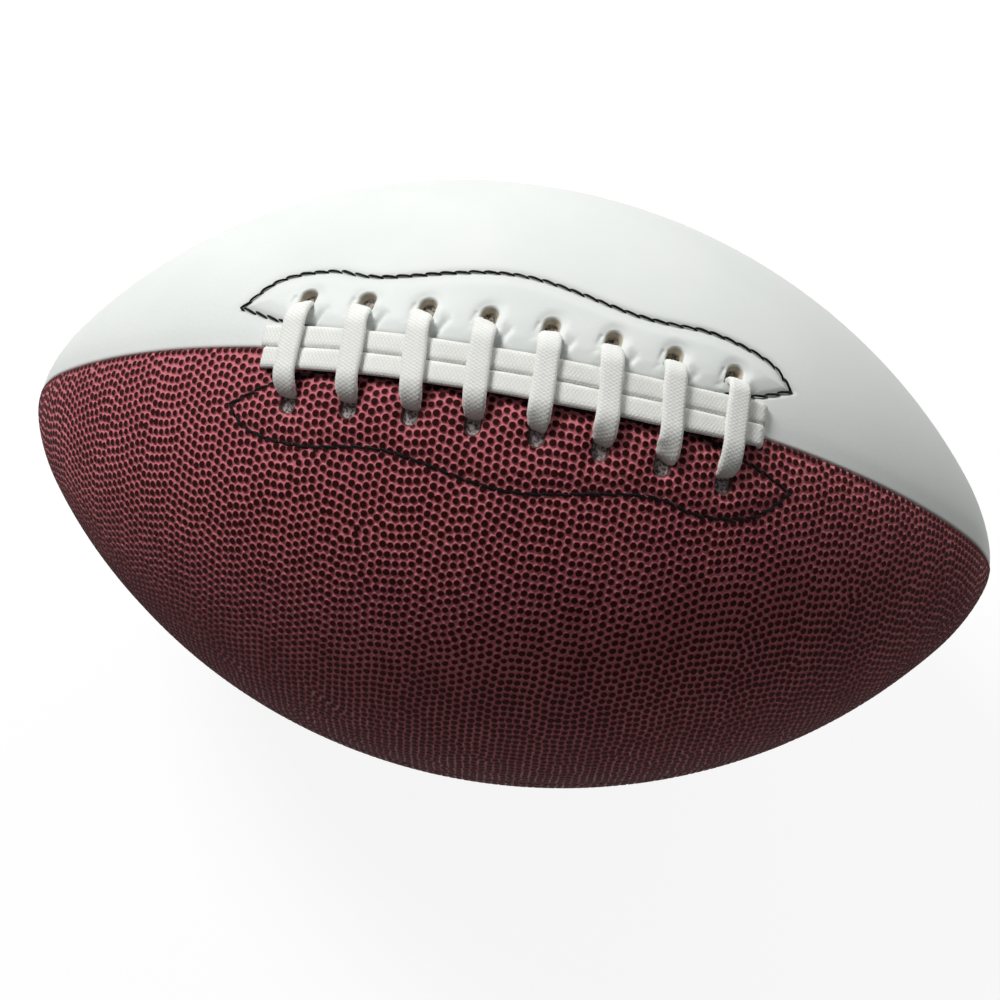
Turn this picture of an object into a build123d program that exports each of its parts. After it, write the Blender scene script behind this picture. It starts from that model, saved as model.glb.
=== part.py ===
from build123d import *
from math import asin, cos, degrees, pi, sin, sqrt
import os

# American football: four sewn cover panels with linings, a laced opening, a bladder and a needle valve.
# Frame: origin at the ball's centre, X along the ball, Z up through the lacing, Y towards the white side.
# All lengths are millimetres and all angles are degrees unless a name says otherwise.

# Ball form
BALL_LENGTH = 280.0
BALL_DIAMETER = 170.0
BELLY_FLATNESS_SHARE = 1.0457
SHOULDER_SHARE = 0.9

# Cover layers
COVER_THICKNESS = 2.2
LINING_THICKNESS = 1.1
FACING_THICKNESS = 1.4
LAYER_CLEARANCE = 0.1

# Sewn seams
SEAM_CLEARANCE = 0.1
FLANGE_DEPTH = 5.0
FLANGE_THICKNESS = 1.6
EDGE_ROLL = 2.0
TIP_HOLE_RADIUS = 0.8
SEAM_THREAD_RADIUS = 0.5
SEAM_THREAD_DEPTH = 3.5
SEAM_THREAD_CLEARANCE = 0.25
SEAM_THREAD_END_SHARE = 0.955
SEAM_CHANNEL_END_SHARE = 0.96

# Lacing
HOLE_COUNT = 8
HOLE_PITCH = 15.4
HOLE_OFFSET = 14.0
HOLE_WIDTH = 4.6
HOLE_LENGTH = 6.0
ROW_SKEW = 1.9
LACE_THICKNESS = 1.6
BAR_WIDTH = 5.4
RUN_WIDTH = 5.6
RUN_HALF_LENGTH = 62.5
LACE_CLEARANCE = 0.15
LACE_BEND_RADIUS = 2.0
BEND_DROP = 0.3
SLIT_HALF_LENGTH = 72.0

# Stitched facing outline, as distances from the middle of the lacing, with a long and a short end
STITCH_LONG_TIP_X = 71.4
STITCH_LONG_TIP_Y = 11.1
STITCH_LONG_SHOULDER_X = 63.0
STITCH_LONG_SHOULDER_Y = 19.6
STITCH_LONG_BUMP_X = 50.0
STITCH_LONG_BUMP_Y = 22.9
STITCH_LONG_DIP_X = 36.0
STITCH_LONG_DIP_Y = 22.0
STITCH_LONG_FLARE_Y = 7.2
STITCH_CREST_X = 4.0
STITCH_CREST_Y = 27.7
STITCH_SHORT_DIP_X = 27.0
STITCH_SHORT_DIP_Y = 23.0
STITCH_SHORT_BUMP_X = 47.0
STITCH_SHORT_BUMP_Y = 24.0
STITCH_SHORT_SHOULDER_X = 61.5
STITCH_SHORT_SHOULDER_Y = 21.0
STITCH_SHORT_TIP_X = 67.6
STITCH_SHORT_TIP_Y = 14.2
STITCH_SHORT_FLARE_Y = 9.4
STITCH_FLARE_X = 59.0
STITCH_INNER_X = 46.0
STITCH_INNER_Y = 6.5
STITCH_THREAD_WIDTH = 0.9
STITCH_THREAD_HEIGHT = 0.6
FACING_MARGIN = 2.2

# Tongue and bladder
TONGUE_THICKNESS = 1.2
TONGUE_HALF_LENGTH = 74.0
TONGUE_HALF_WIDTH = 24.0
BLADDER_WALL = 0.9
BLADDER_POCKET_MARGIN = 2.0
POCKET_CORNER = 20.0

# Needle valve
VALVE_STEM_RADIUS = 4.0
VALVE_STEM_LENGTH = 17.0
VALVE_FLANGE_RADIUS = 12.0
VALVE_FLANGE_THICKNESS = 1.6
VALVE_RECESS = 0.5
CORE_RADIUS = 2.3
CORE_LENGTH = 14.0
NEEDLE_RADIUS = 1.0
NEEDLE_DEPTH = 11.0
NEEDLE_LEAD_RADIUS = 1.5
NEEDLE_LEAD_DEPTH = 0.8
VALVE_PLANE = Plane((0, 0, 0), x_dir=(1, 0, 0), z_dir=(0, -1, -1))

# Depths that follow from the layers
LINING_TOP = COVER_THICKNESS + LAYER_CLEARANCE
FACING_TOP = LINING_TOP + LINING_THICKNESS + LAYER_CLEARANCE
FACING_BOTTOM = FACING_TOP + FACING_THICKNESS
BLADDER_TOP = FACING_TOP
LINING_INSET = SEAM_CLEARANCE + FLANGE_THICKNESS + LAYER_CLEARANCE

# Meridian arcs: one belly arc, flatter than the single arc through both tips, and a tangent arc at each end
HALF_LENGTH = BALL_LENGTH / 2
HALF_DIAMETER = BALL_DIAMETER / 2
POINTED_RADIUS = (HALF_LENGTH**2 + HALF_DIAMETER**2) / BALL_DIAMETER
BELLY_RADIUS = BELLY_FLATNESS_SHARE * POINTED_RADIUS
BELLY_CENTRE_Z = HALF_DIAMETER - BELLY_RADIUS
SHOULDER_X = SHOULDER_SHARE * HALF_LENGTH
SHOULDER_Z = BELLY_CENTRE_Z + sqrt(BELLY_RADIUS**2 - SHOULDER_X**2)
SHOULDER_ANGLE = asin(SHOULDER_X / BELLY_RADIUS)
TIP_STEP_X = HALF_LENGTH - SHOULDER_X
TIP_DOT = SHOULDER_Z * cos(SHOULDER_ANGLE) - TIP_STEP_X * sin(SHOULDER_ANGLE)
SHOULDER_RADIUS = (TIP_STEP_X**2 + SHOULDER_Z**2) / (2 * TIP_DOT)
NOSE_CENTRE_X = SHOULDER_X - SHOULDER_RADIUS * sin(SHOULDER_ANGLE)
NOSE_CENTRE_Z = SHOULDER_Z - SHOULDER_RADIUS * cos(SHOULDER_ANGLE)
REACH = BALL_LENGTH

# Lace levels: long runs on the skin, bars over them, straps under the facing, then tongue and bladder
RUN_Y = LACE_CLEARANCE + RUN_WIDTH / 2
RUN_EDGE = LACE_CLEARANCE + RUN_WIDTH
RUN_HEIGHT = LACE_CLEARANCE + LACE_THICKNESS / 2
BAR_HEIGHT = RUN_HEIGHT + LACE_THICKNESS + LACE_CLEARANCE
POST_WIDTH = HOLE_WIDTH - 2 * LACE_CLEARANCE
POST_OFFSET = HOLE_OFFSET - HOLE_LENGTH / 2 + LACE_CLEARANCE + LACE_THICKNESS / 2
STRAP_SLOPE = BAR_WIDTH / 2 * HOLE_OFFSET / HALF_DIAMETER
STRAP_DEPTH = FACING_BOTTOM + 2 * LACE_CLEARANCE + STRAP_SLOPE + LACE_THICKNESS / 2
CHORD_SAG = HOLE_OFFSET**2 / BALL_DIAMETER + HOLE_PITCH**2 / (8 * BELLY_RADIUS)
TONGUE_TOP = STRAP_DEPTH + LACE_THICKNESS / 2 + CHORD_SAG + 3 * LACE_CLEARANCE
POCKET_DEPTH = TONGUE_TOP + TONGUE_THICKNESS + LAYER_CLEARANCE
FACING_HALF_LENGTH = max(STITCH_LONG_TIP_X, STITCH_SHORT_TIP_X) + FACING_MARGIN
FACING_HALF_WIDTH = STITCH_CREST_Y + FACING_MARGIN
POCKET_HALF_LENGTH = max(FACING_HALF_LENGTH, TONGUE_HALF_LENGTH) + BLADDER_POCKET_MARGIN
POCKET_HALF_WIDTH = max(FACING_HALF_WIDTH, TONGUE_HALF_WIDTH) + BLADDER_POCKET_MARGIN


def meridian_angle(x):
    """Tilt of the surface normal at x on the belly, in radians."""
    return asin(x / BELLY_RADIUS)


def belly_height(x):
    """Distance of the skin from the ball's axis at x on the belly."""
    return BELLY_CENTRE_Z + sqrt(BELLY_RADIUS**2 - x**2)


def nose_angle(radius):
    """Normal angle where a nose arc of this radius meets the ball's axis, in radians."""
    return pi / 2 - asin(-NOSE_CENTRE_Z / radius)


def arc_point(centre_x, centre_z, radius, angle):
    """Point on a meridian arc, with the angle measured from Z towards X, in radians."""
    return (centre_x + radius * sin(angle), 0, centre_z + radius * cos(angle))


def meridian_arcs(depth, last_angle):
    """The three tangent meridian arcs at a depth below the skin, from one end to the other."""
    belly = BELLY_RADIUS - depth
    nose = SHOULDER_RADIUS - depth
    half_way = (SHOULDER_ANGLE + last_angle) / 2
    belly_end = arc_point(0, BELLY_CENTRE_Z, belly, SHOULDER_ANGLE)
    nose_middle = arc_point(NOSE_CENTRE_X, NOSE_CENTRE_Z, nose, half_way)
    nose_end = arc_point(NOSE_CENTRE_X, NOSE_CENTRE_Z, nose, last_angle)
    belly_middle = arc_point(0, BELLY_CENTRE_Z, belly, 0)

    def flip(point):
        return (-point[0], point[1], point[2])

    return [
        ThreePointArc(flip(nose_end), flip(nose_middle), flip(belly_end)),
        ThreePointArc(flip(belly_end), belly_middle, belly_end),
        ThreePointArc(belly_end, nose_middle, nose_end),
    ]


def spindle(depth):
    """Solid ball whose surface lies at a depth below the skin."""
    arcs = meridian_arcs(depth, nose_angle(SHOULDER_RADIUS - depth))
    axis_line = Line(arcs[2] @ 1, arcs[0] @ 0)
    return revolve(make_face(arcs + [axis_line]), Axis.X)


def shell(top, bottom):
    """Skin between two depths."""
    return spindle(top) - spindle(bottom)


def quadrant(inset):
    """Box over the quarter +Y +Z, set back from both seam planes."""
    corner = Align.MIN
    return Pos(0, inset, inset) * Box(2 * REACH, REACH, REACH, align=(Align.CENTER, corner, corner))


def seam_tube(radius, end_share):
    """Round tube along the top seam at thread depth, out to a share of the ball's half length."""
    last_angle = asin((end_share * HALF_LENGTH - NOSE_CENTRE_X) / (SHOULDER_RADIUS - SEAM_THREAD_DEPTH))
    path = Wire([arc.edge() for arc in meridian_arcs(SEAM_THREAD_DEPTH, last_angle)])
    section = Plane(path @ 0, z_dir=path % 0) * Circle(radius)
    return sweep(section, path)


def edge_roll_cutter():
    """Body that rounds the outer edge of the +Y panel along the top seam."""
    outside = -EDGE_ROLL / 2
    start = SEAM_CLEARANCE + outside
    far = SEAM_CLEARANCE + EDGE_ROLL
    middle_share = 1 - 1 / sqrt(2)
    middle = middle_share * EDGE_ROLL

    def section(centre_x, centre_z, radius):
        def place(across, depth):
            return (centre_x, across, centre_z + radius - depth)

        corner = [
            Line(place(start, outside), place(far, outside)),
            Line(place(far, outside), place(far, 0)),
            ThreePointArc(
                place(far, 0),
                place(SEAM_CLEARANCE + middle, middle),
                place(SEAM_CLEARANCE, EDGE_ROLL),
            ),
            Line(place(SEAM_CLEARANCE, EDGE_ROLL), place(start, EDGE_ROLL)),
            Line(place(start, EDGE_ROLL), place(start, outside)),
        ]
        return make_face(corner)

    def turned(face, centre_x, centre_z, first, last):
        axis = Axis((centre_x, 0, centre_z), (0, 1, 0))
        return revolve(face.rotate(axis, degrees(first)), axis, degrees(last - first))

    tip = pi / 2
    belly_face = section(0, BELLY_CENTRE_Z, BELLY_RADIUS)
    cutter = turned(belly_face, 0, BELLY_CENTRE_Z, -SHOULDER_ANGLE, SHOULDER_ANGLE)
    for side in (-1, 1):
        nose_face = section(side * NOSE_CENTRE_X, NOSE_CENTRE_Z, SHOULDER_RADIUS)
        first, last = sorted((side * SHOULDER_ANGLE, side * tip))
        cutter += turned(nose_face, side * NOSE_CENTRE_X, NOSE_CENTRE_Z, first, last)
    return cutter


def cover_panel():
    """Quarter panel with turned-in seam flanges, rolled edges, thread channels and its share of the tip holes."""
    inside = spindle(COVER_THICKNESS) & quadrant(SEAM_CLEARANCE + FLANGE_THICKNESS)
    panel = (spindle(0) - spindle(FLANGE_DEPTH)) & quadrant(SEAM_CLEARANCE)
    panel -= inside
    roll = edge_roll_cutter()
    swap = Plane((0, 0, 0), x_dir=(1, 0, 0), z_dir=(0, 1, -1))
    channel = seam_tube(SEAM_THREAD_RADIUS + SEAM_THREAD_CLEARANCE, SEAM_CHANNEL_END_SHARE)
    for cutter in (roll, channel):
        panel -= cutter
        panel -= mirror(cutter, about=swap)
    tip_hole = Rot(0, 90, 0) * Cylinder(TIP_HOLE_RADIUS, 2 * REACH)
    return panel - tip_hole


def cover_lining():
    """Cloth backing of one panel, between its flanges."""
    return shell(LINING_TOP, LINING_TOP + LINING_THICKNESS) & quadrant(LINING_INSET)


def lacing_plane(x, y):
    """Plane on the skin at a point of the lacing, X along the meridian and Z outwards."""
    ring = belly_height(x)
    tilt = meridian_angle(x)
    side = y / ring
    top = sqrt(ring**2 - y**2) / ring
    along = (cos(tilt), -sin(tilt) * side, -sin(tilt) * top)
    outwards = (sin(tilt), cos(tilt) * side, cos(tilt) * top)
    return Plane((x, y, ring * top), x_dir=along, z_dir=outwards)


def bar_plane(index):
    """Plane of one cross bar, X across the ball towards the white side and Y outwards, and its ring radius."""
    middle = lacing_plane((index - (HOLE_COUNT - 1) / 2) * HOLE_PITCH, 0)
    across = (middle.y_dir * (2 * HOLE_OFFSET) - middle.x_dir * ROW_SKEW).normalized()
    plane = Plane(middle.origin, x_dir=across, z_dir=across.cross(middle.z_dir))
    return plane, middle.origin.Z / cos(meridian_angle(middle.origin.X))


def arm_plane(index, side, offset):
    """Plane on the skin under one arm of a bar, Z outwards; side is +1 on the white and -1 on the burgundy side."""
    plane, ring = bar_plane(index)
    lean = asin(offset / ring)
    centre = plane.from_local_coords(Vector(side * offset, ring * cos(lean) - ring))
    outwards = plane.x_dir * (side * sin(lean)) + plane.y_dir * cos(lean)
    return Plane(centre, x_dir=plane.z_dir, z_dir=outwards)


def hole_cutter(index, side):
    """Arched punch through all the layers at one lace hole, flat at the seam end where the lace bears on it."""
    radius = HOLE_WIDTH / 2
    flat_end = Pos(0, -side * radius / 2) * Rectangle(HOLE_WIDTH, HOLE_LENGTH - radius)
    arch = flat_end + Pos(0, side * (HOLE_LENGTH / 2 - radius)) * Circle(radius)
    return extrude(arm_plane(index, side, HOLE_OFFSET) * arch, STRAP_DEPTH, both=True)


def bar_path(index):
    """Plane of one cross bar and its centre line: post, bend, shoulder, flat top and the same again."""
    plane, ring = bar_plane(index)
    lean = asin(POST_OFFSET / ring)
    skin = Vector(POST_OFFSET, ring * cos(lean) - ring)
    post = Vector(sin(lean), cos(lean))
    inwards = Vector(-cos(lean), sin(lean))
    bend_start = skin - post * BEND_DROP
    bend_centre = bend_start + inwards * LACE_BEND_RADIUS
    drop = bend_centre.Y - BAR_HEIGHT
    reach = bend_centre.X - RUN_EDGE
    radius = (LACE_BEND_RADIUS**2 - reach**2 - drop**2) / (2 * (drop + LACE_BEND_RADIUS))
    centre = Vector(RUN_EDGE, BAR_HEIGHT - radius)
    leave = (bend_centre - centre).normalized()
    meet = centre + leave * radius
    bend_middle = bend_centre + (leave - inwards).normalized() * LACE_BEND_RADIUS
    shoulder_middle = centre + (leave + Vector(0, 1)).normalized() * radius
    half = [skin - post * STRAP_DEPTH, bend_start, bend_middle, meet, shoulder_middle]
    half.append(Vector(RUN_EDGE, BAR_HEIGHT))

    def placed(point, side):
        return plane.from_local_coords(Vector(side * point.X, point.Y))

    edges = []
    for side in (1, -1):
        foot, start, bend, join, shoulder, top = [placed(point, side) for point in half]
        arm = [Edge.make_line(foot, start)]
        arm.append(Edge.make_three_point_arc(start, bend, join))
        arm.append(Edge.make_three_point_arc(join, shoulder, top))
        edges.append(arm)
    flat = Edge.make_line(placed(half[-1], 1), placed(half[-1], -1))
    return plane, Wire(edges[0] + [flat] + edges[1])


def lace_bar(index):
    """One cross bar with its two posts, narrowed where it enters the holes."""
    plane, path = bar_path(index)
    section = Plane(path @ 0, x_dir=plane.z_dir, z_dir=path % 0) * Rectangle(BAR_WIDTH, LACE_THICKNESS)
    strap = sweep(section, path)
    wide = RUN_EDGE + LACE_THICKNESS
    narrow = POST_OFFSET - LACE_BEND_RADIUS
    end = HOLE_OFFSET + HOLE_LENGTH
    half = [(end, POST_WIDTH / 2), (narrow, POST_WIDTH / 2), (wide, BAR_WIDTH / 2)]
    top = half + [(-along, width) for along, width in reversed(half)]
    outline = top + [(along, -width) for along, width in reversed(top)]
    floor = Plane(plane.origin, x_dir=plane.x_dir, z_dir=plane.y_dir)
    return strap & extrude(floor * make_face(Polyline(*outline, close=True)), REACH, both=True)


def inner_strap(first, second):
    """Flat strap of lace inside the ball, from one point to another."""
    span = second - first
    middle = (first + second) / 2
    outwards = lacing_plane(middle.X, middle.Y).z_dir
    along = span.normalized()
    normal = outwards - along * outwards.dot(along)
    plane = Plane(middle, x_dir=along, z_dir=normal)
    return extrude(plane * SlotCenterToCenter(span.length, BAR_WIDTH), LACE_THICKNESS / 2, both=True)


def hole_foot(index, side):
    """Point under a lace hole where the lace turns along the inside."""
    return arm_plane(index, side, POST_OFFSET).from_local_coords((0, 0, -STRAP_DEPTH))


def lace_run():
    """White-side long run: cut right end, left end folded down through the slit."""
    radius = BELLY_RADIUS + RUN_HEIGHT
    last = RUN_HALF_LENGTH / radius
    outwards = Vector(-sin(last), 0, cos(last))
    onwards = Vector(-cos(last), 0, -sin(last))
    centre = Vector(0, RUN_Y, BELLY_CENTRE_Z)
    begin = centre + Vector(sin(last), 0, cos(last)) * radius
    fold_start = centre + outwards * radius
    fold_centre = fold_start - outwards * LACE_BEND_RADIUS
    fold_end = fold_centre + onwards * LACE_BEND_RADIUS
    fold_middle = fold_centre + (outwards + onwards).normalized() * LACE_BEND_RADIUS
    foot = fold_end - outwards * (STRAP_DEPTH + RUN_HEIGHT - LACE_BEND_RADIUS)
    path = Wire([
        Edge.make_three_point_arc(begin, centre + Vector(0, 0, radius), fold_start),
        Edge.make_three_point_arc(fold_start, fold_middle, fold_end),
        Edge.make_line(fold_end, foot),
    ])
    section = Plane(path @ 0, x_dir=(0, 1, 0), z_dir=path % 0) * Rectangle(RUN_WIDTH, LACE_THICKNESS)
    return sweep(section, path), Plane(foot, x_dir=-onwards, z_dir=outwards)


def whole_lace():
    """The lace from end to end, and the notch its fold needs in the edge of the white panel."""
    run, fold = lace_run()
    half = run + inner_strap(fold.origin, hole_foot(0, 1))
    lace = half + half.rotate(Axis.Z, 180)
    for index in range(HOLE_COUNT):
        lace += lace_bar(index)
    for index in range(HOLE_COUNT - 1):
        lace += inner_strap(hole_foot(index, -1), hole_foot(index + 1, 1))
    outside = LACE_THICKNESS / 2 + LACE_CLEARANCE
    opening = Pos((LACE_BEND_RADIUS - outside) / 2, 0) * Rectangle(
        LACE_BEND_RADIUS + outside, RUN_WIDTH + 2 * LACE_CLEARANCE
    )
    return lace, extrude(fold * opening, 2 * STRAP_DEPTH)


def stitch_outline(margin):
    """Plan of the stitch line round the white facing, grown by a margin; its long end is at -X."""
    slant = margin / sqrt(2)

    def outer_end(side, tip, shoulder, bump, dip):
        return [
            (side * (tip[0] + margin), tip[1]),
            (side * (shoulder[0] + slant), shoulder[1] + slant),
            (side * bump[0], bump[1] + margin),
            (side * dip[0], dip[1] + margin),
        ]

    def inner_end(side, tip, flare_y):
        flare = (side * (STITCH_FLARE_X + slant), flare_y - slant)
        return ThreePointArc(tip, flare, (side * STITCH_INNER_X, STITCH_INNER_Y - margin))

    short = outer_end(
        1,
        (STITCH_SHORT_TIP_X, STITCH_SHORT_TIP_Y),
        (STITCH_SHORT_SHOULDER_X, STITCH_SHORT_SHOULDER_Y),
        (STITCH_SHORT_BUMP_X, STITCH_SHORT_BUMP_Y),
        (STITCH_SHORT_DIP_X, STITCH_SHORT_DIP_Y),
    )
    long = outer_end(
        -1,
        (STITCH_LONG_TIP_X, STITCH_LONG_TIP_Y),
        (STITCH_LONG_SHOULDER_X, STITCH_LONG_SHOULDER_Y),
        (STITCH_LONG_BUMP_X, STITCH_LONG_BUMP_Y),
        (STITCH_LONG_DIP_X, STITCH_LONG_DIP_Y),
    )
    crest = (-STITCH_CREST_X, STITCH_CREST_Y + margin)
    outer = Spline(*short, crest, *reversed(long))
    right = inner_end(1, short[0], STITCH_SHORT_FLARE_Y)
    left = inner_end(-1, long[0], STITCH_LONG_FLARE_Y)
    return make_face([outer, right, left, Line(right @ 1, left @ 1)])


def prism(plan):
    """Upright prism over a plan, from the middle of the ball to above the lacing."""
    return extrude(plan, REACH)


def bladder_form(wall):
    """Solid inside the linings, with room for the seam flanges and the lacing, less a wall."""
    body = spindle(BLADDER_TOP + wall)
    width = 2 * (LINING_INSET + wall)
    slabs = Box(2 * REACH, width, 2 * REACH) + Box(2 * REACH, 2 * REACH, width)
    body -= slabs - spindle(FLANGE_DEPTH + LAYER_CLEARANCE + wall)
    plan = RectangleRounded(2 * (POCKET_HALF_LENGTH + wall), 2 * (POCKET_HALF_WIDTH + wall), POCKET_CORNER)
    body -= prism(plan) - spindle(POCKET_DEPTH + wall)
    return body


def valve_sag(radius):
    """Fall of the bladder's inner face at a distance from the valve's axis."""
    return radius**2 / (2 * (HALF_DIAMETER - BLADDER_TOP - BLADDER_WALL))


def turned_piece(profile):
    """Body turned about the valve's axis from (radius, depth below the skin) corners."""
    corners = [VALVE_PLANE.from_local_coords((radius, 0, HALF_DIAMETER - depth)) for radius, depth in profile]
    axis = Axis((0, 0, 0), VALVE_PLANE.z_dir)
    return revolve(make_face(Polyline(*corners, close=True)), axis)


def valve_body():
    """Stem with a dished flange bonded inside the bladder, hollow for the core."""
    root = BLADDER_TOP + BLADDER_WALL + LAYER_CLEARANCE
    foot = VALVE_RECESS + VALVE_STEM_LENGTH
    hollow = VALVE_RECESS + CORE_LENGTH + LAYER_CLEARANCE
    return turned_piece([
        (CORE_RADIUS, VALVE_RECESS),
        (VALVE_STEM_RADIUS, VALVE_RECESS),
        (VALVE_STEM_RADIUS, root + valve_sag(VALVE_STEM_RADIUS)),
        (VALVE_FLANGE_RADIUS, root + valve_sag(VALVE_FLANGE_RADIUS)),
        (VALVE_FLANGE_RADIUS, root + valve_sag(VALVE_FLANGE_RADIUS) + VALVE_FLANGE_THICKNESS),
        (VALVE_STEM_RADIUS, root + valve_sag(VALVE_STEM_RADIUS) + VALVE_FLANGE_THICKNESS),
        (VALVE_STEM_RADIUS, foot),
        (0, foot),
        (0, hollow),
        (CORE_RADIUS, hollow),
    ])


def valve_core():
    """Rubber core with a blind needle channel and a small lead-in."""
    side = CORE_RADIUS - LAYER_CLEARANCE
    return turned_piece([
        (NEEDLE_LEAD_RADIUS, VALVE_RECESS),
        (side, VALVE_RECESS),
        (side, VALVE_RECESS + CORE_LENGTH),
        (0, VALVE_RECESS + CORE_LENGTH),
        (0, VALVE_RECESS + NEEDLE_DEPTH),
        (NEEDLE_RADIUS, VALVE_RECESS + NEEDLE_DEPTH),
        (NEEDLE_RADIUS, VALVE_RECESS + NEEDLE_LEAD_DEPTH),
    ])


# Cover panels, linings and seam threads, one quarter turned about the ball's axis
QUARTER_NAMES = ("white_upper", "burgundy_upper", "burgundy_lower", "white_lower")
SEAM_NAMES = ("laced", "near", "bottom", "far")
QUARTER_TURN = 90
panel = cover_panel()
lining = cover_lining()
thread = seam_tube(SEAM_THREAD_RADIUS, SEAM_THREAD_END_SHARE)
pieces = {}
for turn, (quarter, seam) in enumerate(zip(QUARTER_NAMES, SEAM_NAMES)):
    pieces["panel_" + quarter] = panel.rotate(Axis.X, turn * QUARTER_TURN)
    pieces["lining_" + quarter] = lining.rotate(Axis.X, turn * QUARTER_TURN)
    pieces["seam_thread_" + seam] = thread.rotate(Axis.X, turn * QUARTER_TURN)
pieces["seam_thread_laced"] -= Box(2 * SLIT_HALF_LENGTH, REACH, REACH)

# Facings and their stitching, white side first and the burgundy side turned half round
lace, notch = whole_lace()
half_thread = STITCH_THREAD_WIDTH / 2
stitch_plan = stitch_outline(half_thread) - stitch_outline(-half_thread)
facing = shell(FACING_TOP, FACING_BOTTOM) & prism(stitch_outline(FACING_MARGIN))
stitching = shell(-LAYER_CLEARANCE - STITCH_THREAD_HEIGHT, -LAYER_CLEARANCE) & prism(stitch_plan)
for side, colour in ((1, "white"), (-1, "burgundy")):
    half_turn = 0 if side > 0 else 180
    holes = [hole_cutter(index, side) for index in range(HOLE_COUNT)]
    pieces["facing_" + colour] = facing.rotate(Axis.Z, half_turn)
    pieces["facing_stitching_" + colour] = stitching.rotate(Axis.Z, half_turn)
    for layer in ("panel_" + colour + "_upper", "lining_" + colour + "_upper", "facing_" + colour):
        pieces[layer] -= holes
        pieces[layer] -= notch.rotate(Axis.Z, half_turn)
pieces["lace"] = lace

# Tongue and bladder
pieces["tongue"] = shell(TONGUE_TOP, TONGUE_TOP + TONGUE_THICKNESS) & prism(
    SlotOverall(2 * TONGUE_HALF_LENGTH, 2 * TONGUE_HALF_WIDTH)
)
pieces["bladder"] = bladder_form(0) - bladder_form(BLADDER_WALL)

# Valve, through the lower burgundy panel
passage = turned_piece([
    (0, -VALVE_RECESS),
    (VALVE_STEM_RADIUS + LAYER_CLEARANCE, -VALVE_RECESS),
    (VALVE_STEM_RADIUS + LAYER_CLEARANCE, VALVE_STEM_LENGTH),
    (0, VALVE_STEM_LENGTH),
])
for layer in ("panel_burgundy_lower", "lining_burgundy_lower", "bladder"):
    pieces[layer] -= passage
pieces["valve_body"] = valve_body()
pieces["valve_core"] = valve_core()

os.makedirs("parts", exist_ok=True)
for name, piece in pieces.items():
    export_step(piece, os.path.join("parts", name + ".step"))
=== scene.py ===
import bpy
import math
import numpy as np
from mathutils import Matrix, Vector
from mathutils.kdtree import KDTree


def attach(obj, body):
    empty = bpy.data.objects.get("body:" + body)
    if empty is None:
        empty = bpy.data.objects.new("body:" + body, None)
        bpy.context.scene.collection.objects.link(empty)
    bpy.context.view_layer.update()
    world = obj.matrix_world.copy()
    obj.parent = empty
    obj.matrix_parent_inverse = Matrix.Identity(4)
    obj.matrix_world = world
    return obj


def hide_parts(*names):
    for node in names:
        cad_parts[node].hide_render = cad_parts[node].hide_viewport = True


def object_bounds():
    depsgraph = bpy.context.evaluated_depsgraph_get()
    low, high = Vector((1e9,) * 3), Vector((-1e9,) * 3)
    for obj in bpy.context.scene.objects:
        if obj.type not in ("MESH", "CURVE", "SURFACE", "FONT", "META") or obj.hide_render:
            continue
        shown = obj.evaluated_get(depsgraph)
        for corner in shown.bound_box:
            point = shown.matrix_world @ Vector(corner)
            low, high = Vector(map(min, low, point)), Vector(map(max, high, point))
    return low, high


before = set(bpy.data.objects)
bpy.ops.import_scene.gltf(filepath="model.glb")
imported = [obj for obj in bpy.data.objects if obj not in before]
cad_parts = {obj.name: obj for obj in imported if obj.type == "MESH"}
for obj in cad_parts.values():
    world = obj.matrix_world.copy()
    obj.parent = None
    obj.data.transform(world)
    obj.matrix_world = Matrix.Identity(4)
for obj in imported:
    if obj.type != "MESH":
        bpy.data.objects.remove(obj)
cad_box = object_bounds()
SEED = 11
rng = np.random.default_rng(SEED)

# Lengths of the ball are millimetres, and are turned into metres where a mesh is made
MM = 0.001
BALL_LENGTH = 280.0
BALL_DIAMETER = 170.0
BELLY_RADIUS = 165.0
SHOULDER_SHARE = 0.9
EDGE_ROLL = 0.8
SEAM_SINK = 0.3
SEAM_SINK_WIDTH = 4.0

# Lacing
HOLE_COUNT = 8
HOLE_PITCH = 15.4
HOLE_OFFSET = 14.0
HOLE_WIDTH = 4.6
HOLE_LENGTH = 6.0
ROW_SKEW = 1.9
LACE_THICKNESS = 1.9
BAR_WIDTH = 5.7
RUN_WIDTH = 5.7
RUN_GAP = 0.04
RUN_LEFT = {1: -62.3, -1: -61.2}
RUN_RIGHT = 60.5
LACE_CLEARANCE = 0.15
LACE_BEND_RADIUS = 2.0
BEND_DROP = 0.3
FOOT_DEPTH = 3.0
RUN_FOLD_RADIUS = 1.5
BAR_SWAY = 0.22
BAR_SWAY_TURN = 0.16
BAR_SWAY_PHASE = 1.7
BAR_WIDTH_WAVE = 0.03
BAR_WIDTH_TURN = 0.4
RUN_SWAY = 0.1
RUN_SWAY_TURN = 0.11
RUN_WIDTH_WAVE = 0.02
RUN_WIDTH_TURN = 0.23
TUCK_START = 1.4
TUCK_NARROWING = 0.8
LACE_PULL = 0.4
TWIST_START = 8.5
WHITE_TWIST_SHARES = (-0.2, 0.26, 0.36, 0.4, -0.05, 0.04, 0.05, 0.1)
BURGUNDY_TWIST_SHARES = (0.13, 0.05, 0.1, 0.05, 0.24, 0.27, 0.5, -0.17)
BEND_STEPS = 16
OVER_STEPS = 24
RUN_STEPS = 200
RUN_EDGE = LACE_CLEARANCE + RUN_WIDTH
RUN_HEIGHT = LACE_CLEARANCE + LACE_THICKNESS / 2
BAR_HEIGHT = RUN_HEIGHT + LACE_THICKNESS + LACE_CLEARANCE
POST_OFFSET = HOLE_OFFSET - HOLE_LENGTH / 2 + LACE_CLEARANCE + LACE_THICKNESS / 2 - LACE_PULL

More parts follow.
